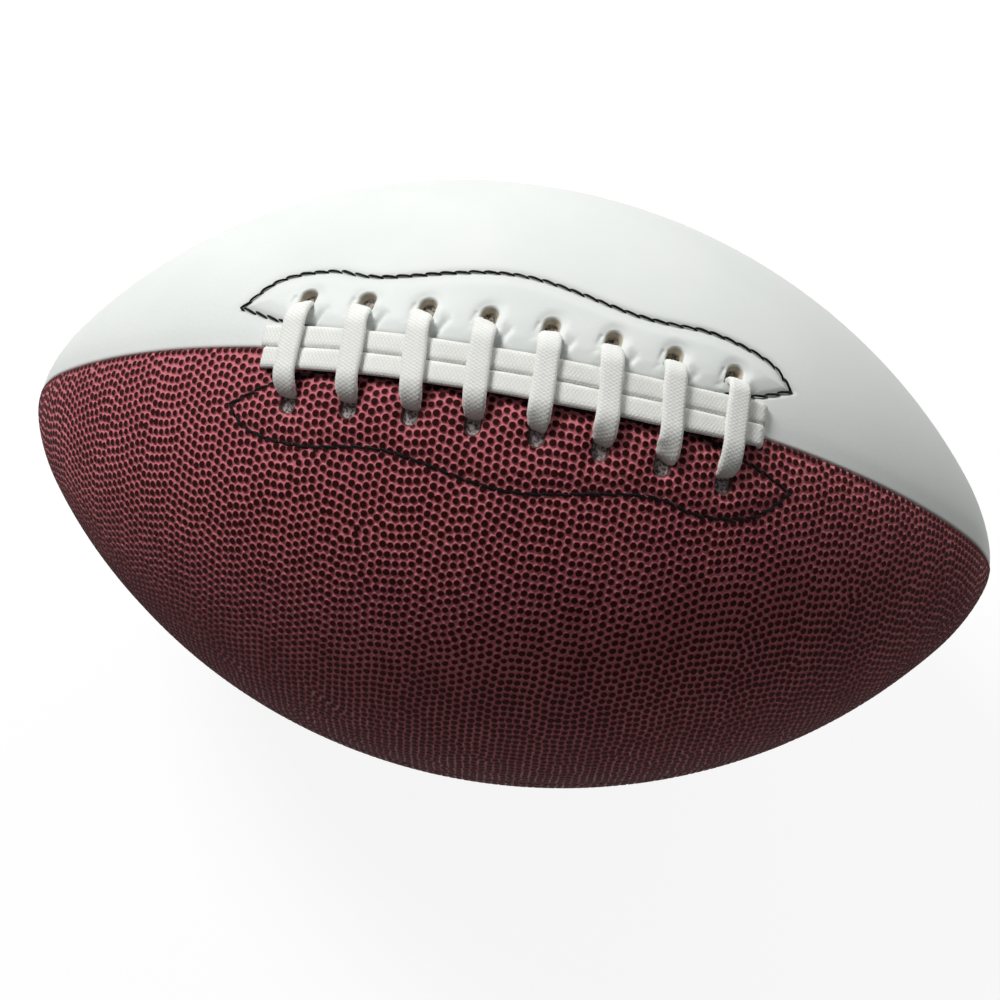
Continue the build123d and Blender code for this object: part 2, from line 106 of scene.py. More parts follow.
# The two runs drift towards the white side over their right half
DRIFT_START = 5.0
DRIFT_LENGTH = 57.0
DRIFT = 3.0
DRIFT_POWER = 1.8
DRIFT_BEFORE = -0.4

# Braid of the lace
BRAID_COLUMN = 0.8
BRAID_PITCH = 0.95
BRAID_RELIEF = 0.13
BRAID_LEVEL = 0.6
BRAID_GAP_POWER = 4
BRAID_COLUMNS_BEFORE = 100.0
BAR_BRAID_PHASE = 0.37
RUN_BRAID_PHASE = 0.2
STRAP_SQUARENESS = 5

# Stitch line round the white facing: its long end is at -X, and the burgundy one is turned half round
STITCH_SHORT_END = ((68.0, 15.0), (61.5, 21.0), (47.0, 24.0), (27.0, 23.0))
STITCH_CREST = (-4.0, 27.7)
STITCH_LONG_END = ((-36.0, 22.0), (-50.0, 22.9), (-63.0, 19.6), (-71.4, 11.1))
STITCH_SHORT_FLARE = (58.5, 9.9)
STITCH_LONG_FLARE = (-59.0, 7.2)
STITCH_INNER = (46.0, 5.4)
STITCH_LENGTH = 3.6
STITCH_RADIUS = {1: 0.34, -1: 0.42}
STITCH_SLANT = {1: 0.62, -1: 0.5}
STITCH_RISE = {1: 0.1, -1: 0.06}
STITCH_REACH = 0.6
STITCH_DIVE = 0.42
STITCH_TAPER = 0.7
STITCH_FLATNESS = 0.75
STITCH_WANDER = 0.04
STITCH_SIZES = (0.92, 1.08)
OUTER_STEPS = 24
INNER_STEPS = 40
FLARE_STEPS = 16

# Relief of the stitched facing
PUFF_HEIGHT = 0.6
PUFF_MARGIN = 5.0
GROOVE_DEPTH = {1: 0.45, -1: 0.12}
GROOVE_WIDTH = 0.9
PIT_DEPTH = {1: 2.4, -1: 1.5}
PIT_WALL = 0.9
PIT_RIM = 0.1
RIM_SINK = 0.45
RIM_SINK_WIDTH = 1.5
RUN_SHOULDER = (-2.5, 0.5)
PILLOW_HEIGHT = 0.25
PILLOW_FADE = (20.0, 13.0)
HOLE_LEAN = 0.12
RUN_TROUGH = 0.9
RUN_TROUGH_WIDTH = 4.5
RUN_TROUGH_END = 52.0
CREASE_DEPTH = 1.8
CREASE_SHARES = (0.75, 1.0)
CREASE_WEAKENING = 0.06
CREASE_FADE = 0.75
CREASE_WIDTHS = (1.1, 0.8)
CREASE_START = (3.2, 6.4)
CREASE_END = (6.2, 10.8)
TICK_DEPTH = 0.35
TICK_WIDTHS = (0.45, 0.45)
TICK_START = (-2.8, 14.3)
TICK_END = (-3.6, 11.6)
CORNER_HEIGHT = 0.4
CORNER = (3.8, 12.6)
CORNER_WIDTHS = (1.1, 1.6)
# Painted shade: width of the greying along the stitch groove of the white cover
STITCH_SHADE_WIDTH = 1.6
# Width of the greyer brown band right at the seams of the white cover
SEAM_GREY_WIDTH = 1.1
ZONE_HALF_LENGTH = 76.0
ZONE_WIDTH = 34.0

# Grid steps of the sheets, round the lacing and elsewhere, and the opening left at each tip
SEAM_STEP = 0.2
SEAM_ZONE = 3.0
COVER_STEPS = {
    ("white", "upper"): (0.28, 0.9),
    ("white", "lower"): (0.7, 0.9),
    ("burgundy", "upper"): (0.22, 0.22),
    ("burgundy", "lower"): (0.45, 0.45),
}
TIP_OPENING = 0.6
STRAP_STEP = 0.22
STRAP_AROUND = 64
STITCH_RINGS = 11
STITCH_AROUND = 10

# Pebbles of the burgundy cover
PEBBLE_PITCH = 2.28
PEBBLE_ROW_PITCH = PEBBLE_PITCH * math.sqrt(0.75)
PEBBLE_TOP = 0.74
PEBBLE_FOOT = 1.14
PEBBLE_DARK = 0.88
PEBBLE_DARK_BLUR = 0.08
PEBBLE_HEIGHT = 0.44
PEBBLE_JITTER = 0.5
PEBBLE_SIZES = (0.93, 1.07)
PEBBLE_WINDOW = 1.2
PUSH_ROUNDS = 12
PUSH_REACH = 1.3 * PEBBLE_PITCH
PUSH_SHARE = 0.22
PUSH_LEAST = 0.05
PEBBLE_SEAM_MARGIN = 0.7
PEBBLE_TIP_MARGIN = 1.0

# Colours as screen values from 0 to 255, and finishes
WHITE_TONES = (226, 230, 227), (233, 236, 233)
# Painted shade along the stitch groove of the white cover: its colour and how much of it
WHITE_STITCH_SHADE = (186, 188, 184)
WHITE_STITCH_SHADE_SHARE = 0.3
WHITE_CUT_TONES = (160, 149, 131), (214, 205, 188)
WHITE_BACKING_TONES = (74, 66, 57), (152, 143, 130)
WHITE_ROUGHNESS = (0.44, 0.56)
WHITE_SPECULAR = 0.3
# Greyer brown band right at the seams of the white cover: its colour, where it starts and how much
SEAM_GREY = (150, 140, 130)
SEAM_GREY_FROM = 0.1
SEAM_GREY_SHARE = 0.2
NET_TONES = (198, 112, 121), (212, 126, 134)
PEBBLE_TONES = (34, 4, 5), (48, 8, 9)
BURGUNDY_CUT_TONES = (60, 30, 30), (120, 92, 86)
BURGUNDY_BACKING_TONES = (96, 86, 86), (180, 174, 172)
BURGUNDY_SHINE = (255, 170, 172)
BURGUNDY_SPECULAR = 0.2
NET_ROUGHNESS = 0.36
PEBBLE_ROUGHNESS = 0.75
YARN_TONES = (240, 241, 236), (248, 249, 244)
# Painted shade down in the hollows of the braid: its colour, how much, and how deep it reaches
YARN_SHADE = (168, 167, 158)
YARN_SHADE_SHARE = 0.3
YARN_SHADE_TO = 0.55
YARN_ROUGHNESS = 0.85
YARN_SHEEN = 0.15
LACE_DIRT = (176, 138, 132)
LACE_DIRT_SHARE = 0.4
LACE_DIRT_START = 8.5
LACE_DIRT_END = 12.5
THREAD_SPECULAR = 0.1
THREAD_DARKER = 0.45
CLOTH_PALER = 1.5
CLOTH_ROUGHNESS = 0.9
RUBBER_PALER = 1.7
RUBBER_ROUGHNESS = (0.5, 0.7)
CLOUD_SPAN = (0.3, 0.7)
TWIST_SPAN = (0.35, 0.65)
SPECK_SPAN = (0.4, 0.56)
CUT_EDGE_SPAN = (0.1, 0.3)
BACKING_SPAN = (0.75, 0.95)

# Valve opening in the lower burgundy panel, half way between its two seams
VALVE_OPENING = 4.15
VALVE_ROLL = 0.5

# Meridian arcs, as in the solids
QUARTER = math.pi / 2
half_length = BALL_LENGTH / 2
half_diameter = BALL_DIAMETER / 2
belly_centre = half_diameter - BELLY_RADIUS
shoulder_x = SHOULDER_SHARE * half_length
shoulder_r = belly_centre + math.sqrt(BELLY_RADIUS**2 - shoulder_x**2)
shoulder_angle = math.asin(shoulder_x / BELLY_RADIUS)
tip_step = half_length - shoulder_x
tip_dot = shoulder_r * math.cos(shoulder_angle) - tip_step * math.sin(shoulder_angle)
nose_radius = (tip_step**2 + shoulder_r**2) / (2 * tip_dot)
nose_x = shoulder_x - nose_radius * math.sin(shoulder_angle)
nose_r = shoulder_r - nose_radius * math.cos(shoulder_angle)
tip_angle = QUARTER - math.asin(-nose_r / nose_radius)
belly_arc = BELLY_RADIUS * shoulder_angle
half_arc = belly_arc + nose_radius * (tip_angle - shoulder_angle)


def meridian(arc):
    """Place along the ball, distance from its axis and normal tilt, at arc lengths from the middle."""
    size = np.abs(arc)
    on_belly = size < belly_arc
    tilt = np.where(on_belly, size / BELLY_RADIUS, shoulder_angle + (size - belly_arc) / nose_radius)
    x = np.where(on_belly, BELLY_RADIUS * np.sin(tilt), nose_x + nose_radius * np.sin(tilt))
    r = np.where(on_belly, belly_centre + BELLY_RADIUS * np.cos(tilt), nose_r + nose_radius * np.cos(tilt))
    return np.sign(arc) * x, np.maximum(r, 0.0), np.sign(arc) * tilt


def smooth_step(low, high, value):
    """0 on the low side, 1 on the high side, smooth between."""
    share = np.clip((value - low) / (high - low), 0.0, 1.0)
    return share * share * (3.0 - 2.0 * share)


def linear(*srgb):
    """Screen colour from 0 to 255 as the linear colour a shader takes."""
    shares = [value / 255.0 for value in srgb]
    return tuple(s / 12.92 if s <= 0.04045 else ((s + 0.055) / 1.055) ** 2.4 for s in shares) + (1.0,)


def mesh_object(name, points, quads, node, values=None, flat_map=None):
    """Smooth mesh from points in millimetres and quads, with point attributes, that stands for a node."""
    points = np.asarray(points, dtype=np.float32) * MM
    quads = np.asarray(quads, dtype=np.int32)
    mesh = bpy.data.meshes.new(name)
    mesh.vertices.add(len(points))
    mesh.vertices.foreach_set("co", points.ravel())
    mesh.loops.add(quads.size)
    mesh.loops.foreach_set("vertex_index", quads.ravel())
    mesh.polygons.add(len(quads))
    mesh.polygons.foreach_set("loop_start", np.arange(0, quads.size, quads.shape[1], dtype=np.int32))
    mesh.polygons.foreach_set("use_smooth", np.ones(len(quads), dtype=bool))
    mesh.update(calc_edges=True)
    for key, value in (values or {}).items():
        layer = mesh.attributes.new(key, "FLOAT", "POINT")
        layer.data.foreach_set("value", np.asarray(value, dtype=np.float32).ravel())
    if flat_map is not None:
        layer = mesh.uv_layers.new(name="OFBake")
        layer.data.foreach_set("uv", np.asarray(flat_map, dtype=np.float32)[quads].ravel())
    piece = bpy.data.objects.new(name, mesh)
    bpy.context.scene.collection.objects.link(piece)
    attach(piece, "root")
    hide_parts(node)
    return piece


def grid_quads(rows, columns, flip=False, wrap=False):
    """Quads over a grid of points stored row by row; wrap joins the last column to the first."""
    strips = columns if wrap else columns - 1
    row, column = np.meshgrid(np.arange(rows - 1), np.arange(strips), indexing="ij")
    following = (column + 1) % columns
    a = row * columns + column
    b = row * columns + following
    c = (row + 1) * columns + following
    d = (row + 1) * columns + column
    corners = (a, d, c, b) if flip else (a, b, c, d)
    return np.stack([corner.ravel() for corner in corners], axis=1)


def tube_quads(rings, around):
    """Quads of a tube made of rings of points, with a flat cap at each end."""
    half = np.arange(around // 2 - 1)
    first_cap = np.stack([half, half + 1, around - 2 - half, around - 1 - half], axis=1)
    last_cap = first_cap[:, ::-1] + (rings - 1) * around
    return np.concatenate([grid_quads(rings, around, flip=True, wrap=True), first_cap, last_cap])


def lengths_along(line):
    """Length from the start of a polyline to each of its points."""
    return np.concatenate([[0.0], np.cumsum(np.linalg.norm(np.diff(line, axis=0), axis=1))])


def unit(vectors):
    """Rows scaled to length 1."""
    return vectors / np.linalg.norm(vectors, axis=-1, keepdims=True)


# Stitch line
def curve_through(points, steps):
    """Smooth line through points, its slope at each one taken from the two beside it."""
    points = np.asarray(points, dtype=float)
    padded = np.concatenate([[2 * points[0] - points[1]], points, [2 * points[-1] - points[-2]]])
    share = np.linspace(0.0, 1.0, steps, endpoint=False)[:, None]
    line = []
    for before, start, end, after in zip(padded, padded[1:], padded[2:], padded[3:]):
        cube = -before + 3 * start - 3 * end + after
        square = 2 * before - 5 * start + 4 * end - after
        line.append(0.5 * (2 * start + (end - before) * share + square * share**2 + cube * share**3))
    return np.concatenate(line + [points[-1:]])


def distance_to_line(x, y, line):
    """Distance of plan points from a closed line, negative inside it."""
    step = np.roll(line, -1, axis=0) - line
    long = np.maximum((step**2).sum(axis=1), 1e-9)
    best = np.full(x.shape, 1e9)
    inside = np.zeros(x.shape, dtype=bool)
    for (sx, sy), (dx, dy), size in zip(line, step, long):
        share = np.clip(((x - sx) * dx + (y - sy) * dy) / size, 0.0, 1.0)
        best = np.minimum(best, (x - sx - share * dx) ** 2 + (y - sy - share * dy) ** 2)
        if dy:
            crosses = (sy > y) != (sy + dy > y)
            inside ^= crosses & (x < sx + dx * (y - sy) / dy)
    return np.where(inside, -1.0, 1.0) * np.sqrt(best)


# Bars of the lace: place and direction of each, and its two holes
def bar_frame(index):
    """Middle of a bar on the skin, its direction across the ball, the outward normal and ring radius."""
    x = (index - (HOLE_COUNT - 1) / 2) * HOLE_PITCH
    tilt = math.asin(x / BELLY_RADIUS)
    ring = belly_centre + BELLY_RADIUS * math.cos(tilt)
    along = np.array([math.cos(tilt), 0.0, -math.sin(tilt)])
    outwards = np.array([math.sin(tilt), 0.0, math.cos(tilt)])
    across = unit(np.array([0.0, 2 * HOLE_OFFSET, 0.0]) - ROW_SKEW * along)
    return np.array([x, 0.0, ring]), across, outwards, ring / math.cos(tilt)


def hole_centre(index, side):
    """Plan point of a lace hole."""
    middle, across, outwards, ring = bar_frame(index)
    drop = ring - math.sqrt(ring**2 - HOLE_OFFSET**2)
    return (middle + across * side * HOLE_OFFSET - outwards * drop)[:2]


def run_drift(x):
    """How far the two runs lie off the seam, towards the white side."""
    share = np.clip((x - DRIFT_START) / DRIFT_LENGTH, 0.0, None)
    return DRIFT_BEFORE + DRIFT * share**DRIFT_POWER


def stitch_line(side):
    """Closed plan line of the stitching, turned as on the white side, its inner part under the run."""
    outer = curve_through(STITCH_SHORT_END + (STITCH_CREST,) + STITCH_LONG_END, OUTER_STEPS)
    along = np.linspace(-STITCH_INNER[0], STITCH_INNER[0], INNER_STEPS)
    inner = np.stack([along, STITCH_INNER[1] + side * run_drift(side * along)], axis=1)
    left = curve_through((STITCH_LONG_END[-1], STITCH_LONG_FLARE, inner[0]), FLARE_STEPS)
    right = curve_through((inner[-1], STITCH_SHORT_FLARE, STITCH_SHORT_END[0]), FLARE_STEPS)
    return np.concatenate([outer, left[1:], inner[1:], right[1:-1]])


# Relief of the skin round the lacing
def arch_distance(across, outwards):
    """Distance from the rim of an arched lace hole, negative inside; outwards is away from the seam."""
    radius = HOLE_WIDTH / 2
    arch_start = HOLE_LENGTH / 2 - radius
    arch = np.hypot(across, outwards - arch_start) - radius
    straight = np.maximum(np.abs(across) - radius, -outwards - HOLE_LENGTH / 2)
    return np.where(outwards > arch_start, arch, straight)


def groove(x, y, start, end, widths):
    """Soft groove from one plan point to another, deepest at its start, with its widths left and right."""
    (sx, sy), (dx, dy) = start, np.subtract(end, start)
    share = np.clip(((x - sx) * dx + (y - sy) * dy) / (dx * dx + dy * dy), 0.0, 1.0)
    gap = np.hypot(x - sx - share * dx, y - sy - share * dy)
    width = np.where(dx * (y - sy) > dy * (x - sx), *widths)
    return np.exp(-((gap / width) ** 2)) * (1.0 - CREASE_FADE * share)


def lacing_relief(x, y, side):
    """Height of the puffed facing, how far each point is down a hole, and nearness to the stitching."""
    line = distance_to_line(x * side, y, stitch_line(side))
    from_run = y - RUN_EDGE - side * run_drift(x)
    beside_run = smooth_step(*RUN_SHOULDER, from_run)
    lift = PUFF_HEIGHT * smooth_step(0.0, PUFF_MARGIN, -line) * beside_run
    if side < 0:
        trough = smooth_step(RUN_TROUGH_WIDTH, 0.0, from_run)
        lift -= RUN_TROUGH * trough * smooth_step(-RUN_LEFT[1], RUN_TROUGH_END, np.abs(x))
    between = 0.5 - 0.5 * np.cos(2 * np.pi * (x - hole_centre(0, side)[0]) / HOLE_PITCH)
    in_rows = smooth_step(HOLE_COUNT / 2 * HOLE_PITCH, (HOLE_COUNT - 1) / 2 * HOLE_PITCH, np.abs(x))
    lift += PILLOW_HEIGHT * between * in_rows * beside_run * smooth_step(*PILLOW_FADE, y)
    pit = np.zeros_like(lift)
    for index in range(HOLE_COUNT):
        hole_x, hole_y = hole_centre(index, side) * (1, side)
        lean = HOLE_LEAN * (y - hole_y + HOLE_LENGTH / 2) if side > 0 else 0.0
        rim = arch_distance(x - hole_x - lean, y - hole_y)
        pit = np.maximum(pit, smooth_step(PIT_RIM, -PIT_WALL, rim))
        lift -= RIM_SINK * np.exp(-((np.clip(rim, 0.0, None) / RIM_SINK_WIDTH) ** 2))
        if side > 0:
            depth = CREASE_DEPTH * rng.uniform(*CREASE_SHARES) * (1.0 - CREASE_WEAKENING * index)
            crease = groove(x - hole_x, y, CREASE_START, CREASE_END, CREASE_WIDTHS)
            tick = groove(x - hole_x, y, TICK_START, TICK_END, TICK_WIDTHS)
            corner_x = (x - hole_x - CORNER[0]) / CORNER_WIDTHS[0]
            corner_y = (y - CORNER[1]) / CORNER_WIDTHS[1]
            corner = np.exp(-(corner_x**2 + corner_y**2))
            lift += CORNER_HEIGHT * corner - TICK_DEPTH * tick - depth * crease
    near = np.exp(-((line / GROOVE_WIDTH) ** 2))
    # The last value is the nearness to the stitching, which sets the painted shade along the stitch groove
    return lift - GROOVE_DEPTH[side] * near, pit, np.exp(-((line / STITCH_SHADE_WIDTH) ** 2))


# Pebbles
def pebble_places():
    """Arc and angle of each pebble on a quarter of the skin: jittered rows, pushed apart evenly."""
    rows = np.arange(PEBBLE_PITCH - half_arc, half_arc - PEBBLE_PITCH / 2, PEBBLE_ROW_PITCH)
    counts = np.maximum(1, np.round(meridian(rows)[1] * QUARTER / PEBBLE_PITCH).astype(int))
    arcs = np.repeat(rows, counts) + rng.normal(0.0, PEBBLE_JITTER, counts.sum())
    angles = np.concatenate([(np.arange(count) + rng.uniform()) / count * QUARTER for count in counts])
    for _ in range(PUSH_ROUNDS):
        x, radii, tilt = meridian(arcs)
        points = np.stack([x, radii * np.sin(angles), radii * np.cos(angles)], axis=1)
        tree = KDTree(len(points))
        for index, point in enumerate(points):
            tree.insert(point, index)
        tree.balance()
        near = [[found[1] for found in tree.find_range(point, PUSH_REACH)] for point in points]
        first = np.repeat(np.arange(len(points)), [len(found) for found in near])
        second = np.concatenate(near)
        first, second = first[first != second], second[first != second]
        apart = points[first] - points[second]
        distance = np.maximum(np.linalg.norm(apart, axis=1, keepdims=True), PUSH_LEAST)
        push = np.zeros_like(points)
        np.add.at(push, first, apart / distance * (PUSH_REACH - distance) * PUSH_SHARE)
        around = push[:, 1] * np.cos(angles) - push[:, 2] * np.sin(angles)
        outwards = push[:, 1] * np.sin(angles) + push[:, 2] * np.cos(angles)
        along = push[:, 0] * np.cos(tilt) - outwards * np.sin(tilt)
        arcs = np.clip(arcs + along, PEBBLE_TIP_MARGIN - half_arc, half_arc - PEBBLE_TIP_MARGIN)
        margin = np.minimum(PEBBLE_SEAM_MARGIN / np.maximum(radii, PEBBLE_SEAM_MARGIN), QUARTER / 2)
        angles = np.clip(angles + around / np.maximum(radii, 1.0), margin, QUARTER - margin)
    return arcs, angles


def pebble_field(arcs, angles, radii):
    """For each grid point, its distance from the nearest pebble's middle, in a pebble of usual size."""
    field = np.full((len(arcs), len(angles)), PEBBLE_PITCH, dtype=np.float32)
    middles, turns = pebble_places()
    sizes = rng.uniform(*PEBBLE_SIZES, len(middles))
    rings = np.maximum(meridian(middles)[1], 1.0)
    for middle, turn, size, ring in zip(middles, turns, sizes, rings):
        reach = PEBBLE_WINDOW * PEBBLE_FOOT * size
        r0, r1 = np.searchsorted(arcs, (middle - reach, middle + reach))
        c0, c1 = np.searchsorted(angles, (turn - reach / ring, turn + reach / ring))
        down = (arcs[r0:r1] - middle)[:, None] / size
        over = radii[r0:r1, None] * (angles[None, c0:c1] - turn) / size
        window = field[r0:r1, c0:c1]
        np.minimum(window, np.hypot(down, over), out=window)
    return field


# Cover panels
def spacing(*spans):
    """Rising values over spans of (start, end, step), each start taken once."""
    values = [np.arange(start, end, step) for start, end, step in spans]
    return np.concatenate(values + [[spans[-1][1]]])


def panel_grid(fine, plain):
    """Arc lengths and angles of a panel's grid: fine round the lacing and at the seams, plain elsewhere."""
    end = half_arc - TIP_OPENING
    seam = SEAM_ZONE / half_diameter
    zone = ZONE_WIDTH / half_diameter
    arcs = spacing((-end, -ZONE_HALF_LENGTH, plain), (-ZONE_HALF_LENGTH, ZONE_HALF_LENGTH, fine),
                   (ZONE_HALF_LENGTH, end, plain))
    angles = spacing((0.0, seam, SEAM_STEP / half_diameter), (seam, zone, fine / half_diameter),
                     (zone, QUARTER - seam, plain / half_diameter),
                     (QUARTER - seam, QUARTER, SEAM_STEP / half_diameter))
    return arcs, angles


def valve_cut(points, quads):
    """Opens the sheet round the valve: inner points go to the rim, and quads wholly inside are left out."""
    axis = unit(np.array([0.0, -1.0, -1.0]))
    along = points @ axis
    sideways = points - along[:, None] * axis
    distance = np.maximum(np.linalg.norm(sideways, axis=1), 1e-6)
    inside = (distance < VALVE_OPENING) & (along > 0.0)
    to_rim = sideways * (VALVE_OPENING / distance - 1.0)[:, None]
    points = np.where(inside[:, None], points + to_rim, points)
    quads = quads[~inside[quads].all(axis=1)]
    used, index = np.unique(quads, return_inverse=True)
    return points, index.reshape(quads.shape), used


def cover_panel(colour, level, steps):
    """One quarter of the skin as a fine sheet, with rolled seams and the relief of its own cover."""
    side = 1 if colour == "white" else -1
    top = 1 if level == "upper" else -1
    arcs, angles = panel_grid(*steps)
    x, radii, tilt = meridian(arcs)
    sine, cosine = np.sin(angles), np.cos(angles)
    y = radii[:, None] * sine[None, :]
    z = radii[:, None] * cosine[None, :]
    xx = np.repeat(x[:, None], len(angles), axis=1)
    height = np.zeros_like(y)
    values = {key: np.zeros_like(y) for key in ("dark", "hole", "worn", "seam")}
    if colour == "burgundy":
        distance = pebble_field(arcs, angles, radii)
        height += PEBBLE_HEIGHT * (smooth_step(PEBBLE_FOOT, PEBBLE_TOP, distance) - 0.5)
        dark_edge = (PEBBLE_DARK + PEBBLE_DARK_BLUR, PEBBLE_DARK - PEBBLE_DARK_BLUR)
        values["dark"] = smooth_step(*dark_edge, distance)
    if top > 0:
        zone = (np.abs(xx) < ZONE_HALF_LENGTH) & (y < ZONE_WIDTH)
        # Nearness to the stitching is kept for the painted shade along the stitch groove
        lift, pit, worn = lacing_relief(xx[zone], y[zone], side)
        height[zone] = (height[zone] + lift) * (1.0 - pit) - PIT_DEPTH[side] * pit
        values["hole"][zone] = pit
        values["worn"][zone] = worn
    for distance in (y, z):
        gap = np.clip(EDGE_ROLL - distance, 0.0, EDGE_ROLL)
        height -= EDGE_ROLL - np.sqrt(EDGE_ROLL**2 - gap**2)
        height -= SEAM_SINK * np.exp(-((distance / SEAM_SINK_WIDTH) ** 2))
        values["seam"] = np.maximum(values["seam"], np.exp(-((distance / SEAM_GREY_WIDTH) ** 2)))
    with_valve = colour == "burgundy" and top < 0
    if with_valve:
        off_axis = np.hypot(xx, (y - z) / math.sqrt(2.0))
        from_rim = np.clip(off_axis - VALVE_OPENING, 0.0, None)
        height -= VALVE_ROLL * np.exp(-((from_rim / VALVE_ROLL) ** 2))
    normal_x = np.sin(tilt)[:, None] * np.ones_like(y)
    normal_y = np.cos(tilt)[:, None] * sine[None, :]
    normal_z = np.cos(tilt)[:, None] * cosine[None, :]
    raised = (xx + normal_x * height, side * (y + normal_y * height), top * (z + normal_z * height))
    points = np.stack(raised, axis=2).reshape(-1, 3)
    quads = grid_quads(len(arcs), len(angles), flip=side * top > 0)
    across = 0.5 + (angles[None, :] / QUARTER - 0.5) * radii[:, None] / half_diameter
    along = np.repeat((0.5 + arcs / (2 * half_arc))[:, None], len(angles), axis=1)
    flat_map = np.stack([along, across], axis=2).reshape(-1, 2)
    used = np.arange(len(points))
    if with_valve:
        points, quads, used = valve_cut(points, quads)
    values = {key: value.ravel()[used] for key, value in values.items()}
    name = "_".join(("cover", colour, level))
    node = "_".join(("panel", colour, level))
    return mesh_object(name, points[used], quads, node, values, flat_map[used])


# Lace
def strap(path, normals, widths, phase):
    """Flat braided strap along a path: points, quads, and how high each point lies in the braid."""
    tangents = unit(np.gradient(path, axis=0))
    sides = unit(np.cross(tangents, normals))
    ups = np.cross(sides, tangents)
    length = lengths_along(path)
    half = STRAP_AROUND // 2
    even = np.cos((np.arange(half) + 0.5) * np.pi / half)
    body = np.sqrt(1.0 - np.abs(even) ** STRAP_SQUARENESS)
    flat = np.concatenate([even, even[::-1]])
    thick = np.concatenate([body, -body[::-1]])
    across = flat[None, :] * widths[:, None] / 2
    column = across / BRAID_COLUMN + BRAID_COLUMNS_BEFORE
    lean = np.where(np.floor(column) % 2 < 1, 1.0, -1.0)
    stripe = np.cos(2 * np.pi * ((length[:, None] + phase) / BRAID_PITCH + lean * 0.5 * (column % 1.0)))
    edge = np.abs((column % 1.0) - 0.5) * 2
    yarn = 0.5 * (1.0 + stripe) * (1.0 - edge**BRAID_GAP_POWER)
    relief = BRAID_RELIEF * (yarn - BRAID_LEVEL) * np.sqrt(np.abs(thick[None, :]))
    up = thick[None, :] * (LACE_THICKNESS / 2) + np.sign(thick)[None, :] * relief
    points = path[:, None, :] + sides[:, None, :] * across[:, :, None] + ups[:, None, :] * up[:, :, None]
    return points.reshape(-1, 3), tube_quads(len(path), STRAP_AROUND), yarn.ravel()


def sampled(line, step):
    """Evenly spaced points along a polyline."""
    length = lengths_along(line)
    places = np.linspace(0.0, length[-1], int(length[-1] / step) + 2)
    return np.stack([np.interp(places, length, line[:, axis]) for axis in range(line.shape[1])], axis=1)


def bar_profile(ring, run_edge):
    """One arm of a bar's centre line as (across, height) points, from its foot to the edge of the run."""
    lean = math.asin(POST_OFFSET / ring)
    skin = np.array([POST_OFFSET, ring * math.cos(lean) - ring])
    post = np.array([math.sin(lean), math.cos(lean)])
    inwards = np.array([-math.cos(lean), math.sin(lean)])
    bend_start = skin - post * BEND_DROP
    bend_centre = bend_start + inwards * LACE_BEND_RADIUS
    drop = bend_centre[1] - BAR_HEIGHT
    reach = bend_centre[0] - run_edge
    radius = (LACE_BEND_RADIUS**2 - reach**2 - drop**2) / (2 * (drop + LACE_BEND_RADIUS))
    centre = np.array([run_edge, BAR_HEIGHT - radius])
    leave = unit(bend_centre - centre)
    bend = np.linspace(math.atan2(-inwards[1], -inwards[0]), math.atan2(leave[1], leave[0]), BEND_STEPS)
    over = np.linspace(bend[-1], QUARTER, OVER_STEPS)
    bend_points = bend_centre + LACE_BEND_RADIUS * np.stack([np.cos(bend), np.sin(bend)], axis=1)
    over_points = centre + radius * np.stack([np.cos(over), np.sin(over)], axis=1)
    return np.concatenate([[skin - post * FOOT_DEPTH, bend_start], bend_points[1:], over_points[1:]])


def lace_bar(index):
    """One cross bar, tucked into its two holes."""
    middle, across, outwards, ring = bar_frame(index)
    drift = float(run_drift(middle[0]))
    white_arm = bar_profile(ring, RUN_EDGE + drift)
    burgundy_arm = bar_profile(ring, RUN_EDGE - drift) * (-1, 1)
    line = sampled(np.concatenate([white_arm, burgundy_arm[::-1]]), STRAP_STEP)
    path = middle + line[:, :1] * across + line[:, 1:] * outwards
    slope = unit(np.gradient(line, axis=0))
    normals = slope[:, 1:] * across - slope[:, :1] * outwards
    tuck = smooth_step(POST_OFFSET - TUCK_START, POST_OFFSET, np.abs(line[:, 0]))
    wave = np.sin(line[:, 0] * BAR_WIDTH_TURN + index)
    widths = BAR_WIDTH * (1.0 + BAR_WIDTH_WAVE * wave) - tuck * TUCK_NARROWING
    swing = np.sin(line[:, :1] * BAR_SWAY_TURN + BAR_SWAY_PHASE * index)
    sway = np.cross(across, outwards) * BAR_SWAY * swing
    points, quads, yarn = strap(path + sway, normals, widths, BAR_BRAID_PHASE * index)
    reach = (points - middle) @ across
    sideways = (points - middle) @ np.cross(across, outwards)
    twist = np.where(reach > 0.0, WHITE_TWIST_SHARES[index], BURGUNDY_TWIST_SHARES[index])
    twist = twist * smooth_step(TWIST_START, POST_OFFSET, np.abs(reach))
    return points - (twist * sideways)[:, None] * across, quads, yarn


